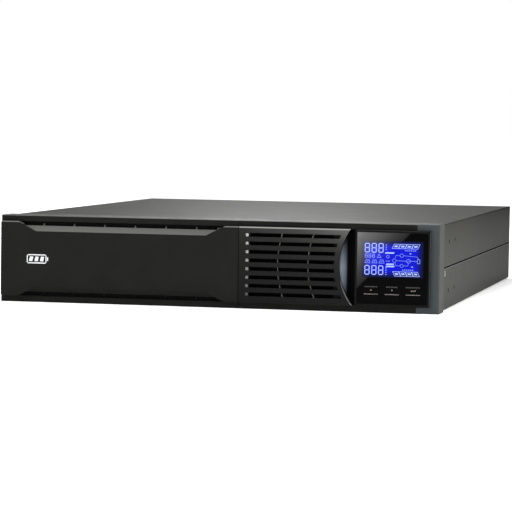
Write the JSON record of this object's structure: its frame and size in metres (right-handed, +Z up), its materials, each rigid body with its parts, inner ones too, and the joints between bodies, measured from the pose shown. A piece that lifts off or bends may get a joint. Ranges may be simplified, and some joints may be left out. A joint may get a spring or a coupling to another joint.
{
  "type": "uninterruptible power supply",
  "caption": "Rack and tower uninterruptible power supply, two units high, with a pull-off battery door, sliding battery tray, vent grille and a turning display with keys.",
  "frame": {"origin": "centre of the bottom, on the surface the unit stands on", "axes": "+X to the right seen from the front, +Y from the front to the back, +Z up"},
  "size_m": [0.438, 0.6, 0.086],
  "materials": {
    "powder_coat": "fine textured powder coat, charcoal grey, low gloss",
    "plated_steel": "zinc plated sheet",
    "pad_rubber": "matt",
    "front_plastic": "satin black with a very fine grain",
    "cap_plastic": "satin blue-grey",
    "scoop_plastic": "polished blue-grey fading to black",
    "stud_plastic": "light grey, glossy",
    "badge_plastic": "glossy black with a plain light symbol",
    "display_plastic": "satin black",
    "window_plastic": "high gloss black",
    "key_plastic": "glossy black",
    "screen_glass": "blue backlit liquid crystal panel",
    "battery_plastic": "dark grey moulded",
    "tab_brass": "tinned",
    "link_plastic": "red sleeve",
    "connector_plastic": "dark grey moulded",
    "board_laminate": "green solder mask",
    "post_brass": "turned",
    "heatsink_aluminium": "extruded",
    "package_plastic": "moulded",
    "capacitor_sleeve": "shrink sleeve",
    "choke_wire": "enamelled copper",
    "fan_plastic": "moulded",
    "rotor_plastic": "moulded",
    "guard_chrome": "bright plated wire",
    "socket_plastic": "moulded",
    "button_plastic": "moulded",
    "pin_metal": "nickel plated",
    "port_plastic": "moulded",
    "port_metal": "nickel plated shell"
  },
  "bodies": {
    "root": {"base_pads": "pad_rubber", "bay_connector": "connector_plastic", "bay_divider": "plated_steel", "board_standoffs": "post_brass", "breaker_body": "socket_plastic", "bus_capacitors": "capacitor_sleeve", "case_screws": "plated_steel", "chassis": "powder_coat", "chokes": "choke_wire", "control_board": "board_laminate", "end_cap": "cap_plastic", "external_battery_socket": "connector_plastic", "fan_frames": "fan_plastic", "fan_guards": "guard_chrome", "fan_screws": "plated_steel", "filter_board": "board_laminate", "finger_scoop": "scoop_plastic", "front_bezel": "front_plastic", "front_plate": "plated_steel", "heatsinks": "heatsink_aluminium", "inlet_pins": "pin_metal", "inlet_socket": "socket_plastic", "main_board": "board_laminate", "network_jacks": "port_plastic", "outlet_bank": "socket_plastic", "outlet_cores": "socket_plastic", "power_transistors": "package_plastic", "rear_panel": "powder_coat", "serial_port": "port_metal", "slot_cover": "powder_coat", "top_cover": "powder_coat", "transformer": "choke_wire", "usb_port": "port_metal", "vent_grille": "front_plastic", "vent_studs": "stud_plastic"},
    "tray": {"battery_tray": "plated_steel", "tray_handle": "plated_steel", "tray_screws": "plated_steel", "battery_tabs": "tab_brass", "battery_links": "link_plastic", "tray_connector": "connector_plastic", "battery_1": "battery_plastic", "battery_2": "battery_plastic", "battery_3": "battery_plastic", "battery_4": "battery_plastic", "battery_5": "battery_plastic", "battery_6": "battery_plastic"},
    "door": {"battery_door": "front_plastic", "badge_plate": "badge_plastic"},
    "display": {"display_frame": "display_plastic", "display_window": "window_plastic", "lcd_panel": "screen_glass", "display_board": "board_laminate", "display_ring": "display_plastic"},
    "key_up": {"key_up": "key_plastic"},
    "key_down": {"key_down": "key_plastic"},
    "key_enter": {"key_enter": "key_plastic"},
    "fan_rotor_1": {"fan_rotor_1": "rotor_plastic"},
    "fan_rotor_2": {"fan_rotor_2": "rotor_plastic"},
    "breaker_button": {"breaker_button": "button_plastic"}
  },
  "joints": [
    {"name": "tray_slide", "type": "slide", "parent": "root", "child": "tray", "axis": [0, -1, 0], "range_m": [0, 0.4]},
    {"name": "door_pull", "type": "slide", "parent": "tray", "child": "door", "axis": [0, -1, 0], "range_m": [0, 0.06]},
    {"name": "display_turn", "type": "hinge", "parent": "root", "child": "display", "pos_m": [0.174, -0.29, 0.043], "axis": [0, 1, 0], "range_deg": [0, 90]},
    {"name": "key_up_press", "type": "slide", "parent": "display", "child": "key_up", "axis": [0, 1, 0], "range_m": [0, 0.0006], "stiffness_N_per_m": 1500},
    {"name": "key_down_press", "type": "slide", "parent": "display", "child": "key_down", "axis": [0, 1, 0], "range_m": [0, 0.0006], "stiffness_N_per_m": 1500},
    {"name": "key_enter_press", "type": "slide", "parent": "display", "child": "key_enter", "axis": [0, 1, 0], "range_m": [0, 0.0006], "stiffness_N_per_m": 1500},
    {"name": "fan_1_spin", "type": "hinge", "parent": "root", "child": "fan_rotor_1", "pos_m": [0.17, 0.28, 0.043], "axis": [0, 1, 0], "continuous": true},
    {"name": "fan_2_spin", "type": "hinge", "parent": "root", "child": "fan_rotor_2", "pos_m": [0.088, 0.28, 0.043], "axis": [0, 1, 0], "continuous": true},
    {"name": "breaker_reset", "type": "slide", "parent": "root", "child": "breaker_button", "axis": [0, 1, 0], "range_m": [0, 0.003]}
  ]
}
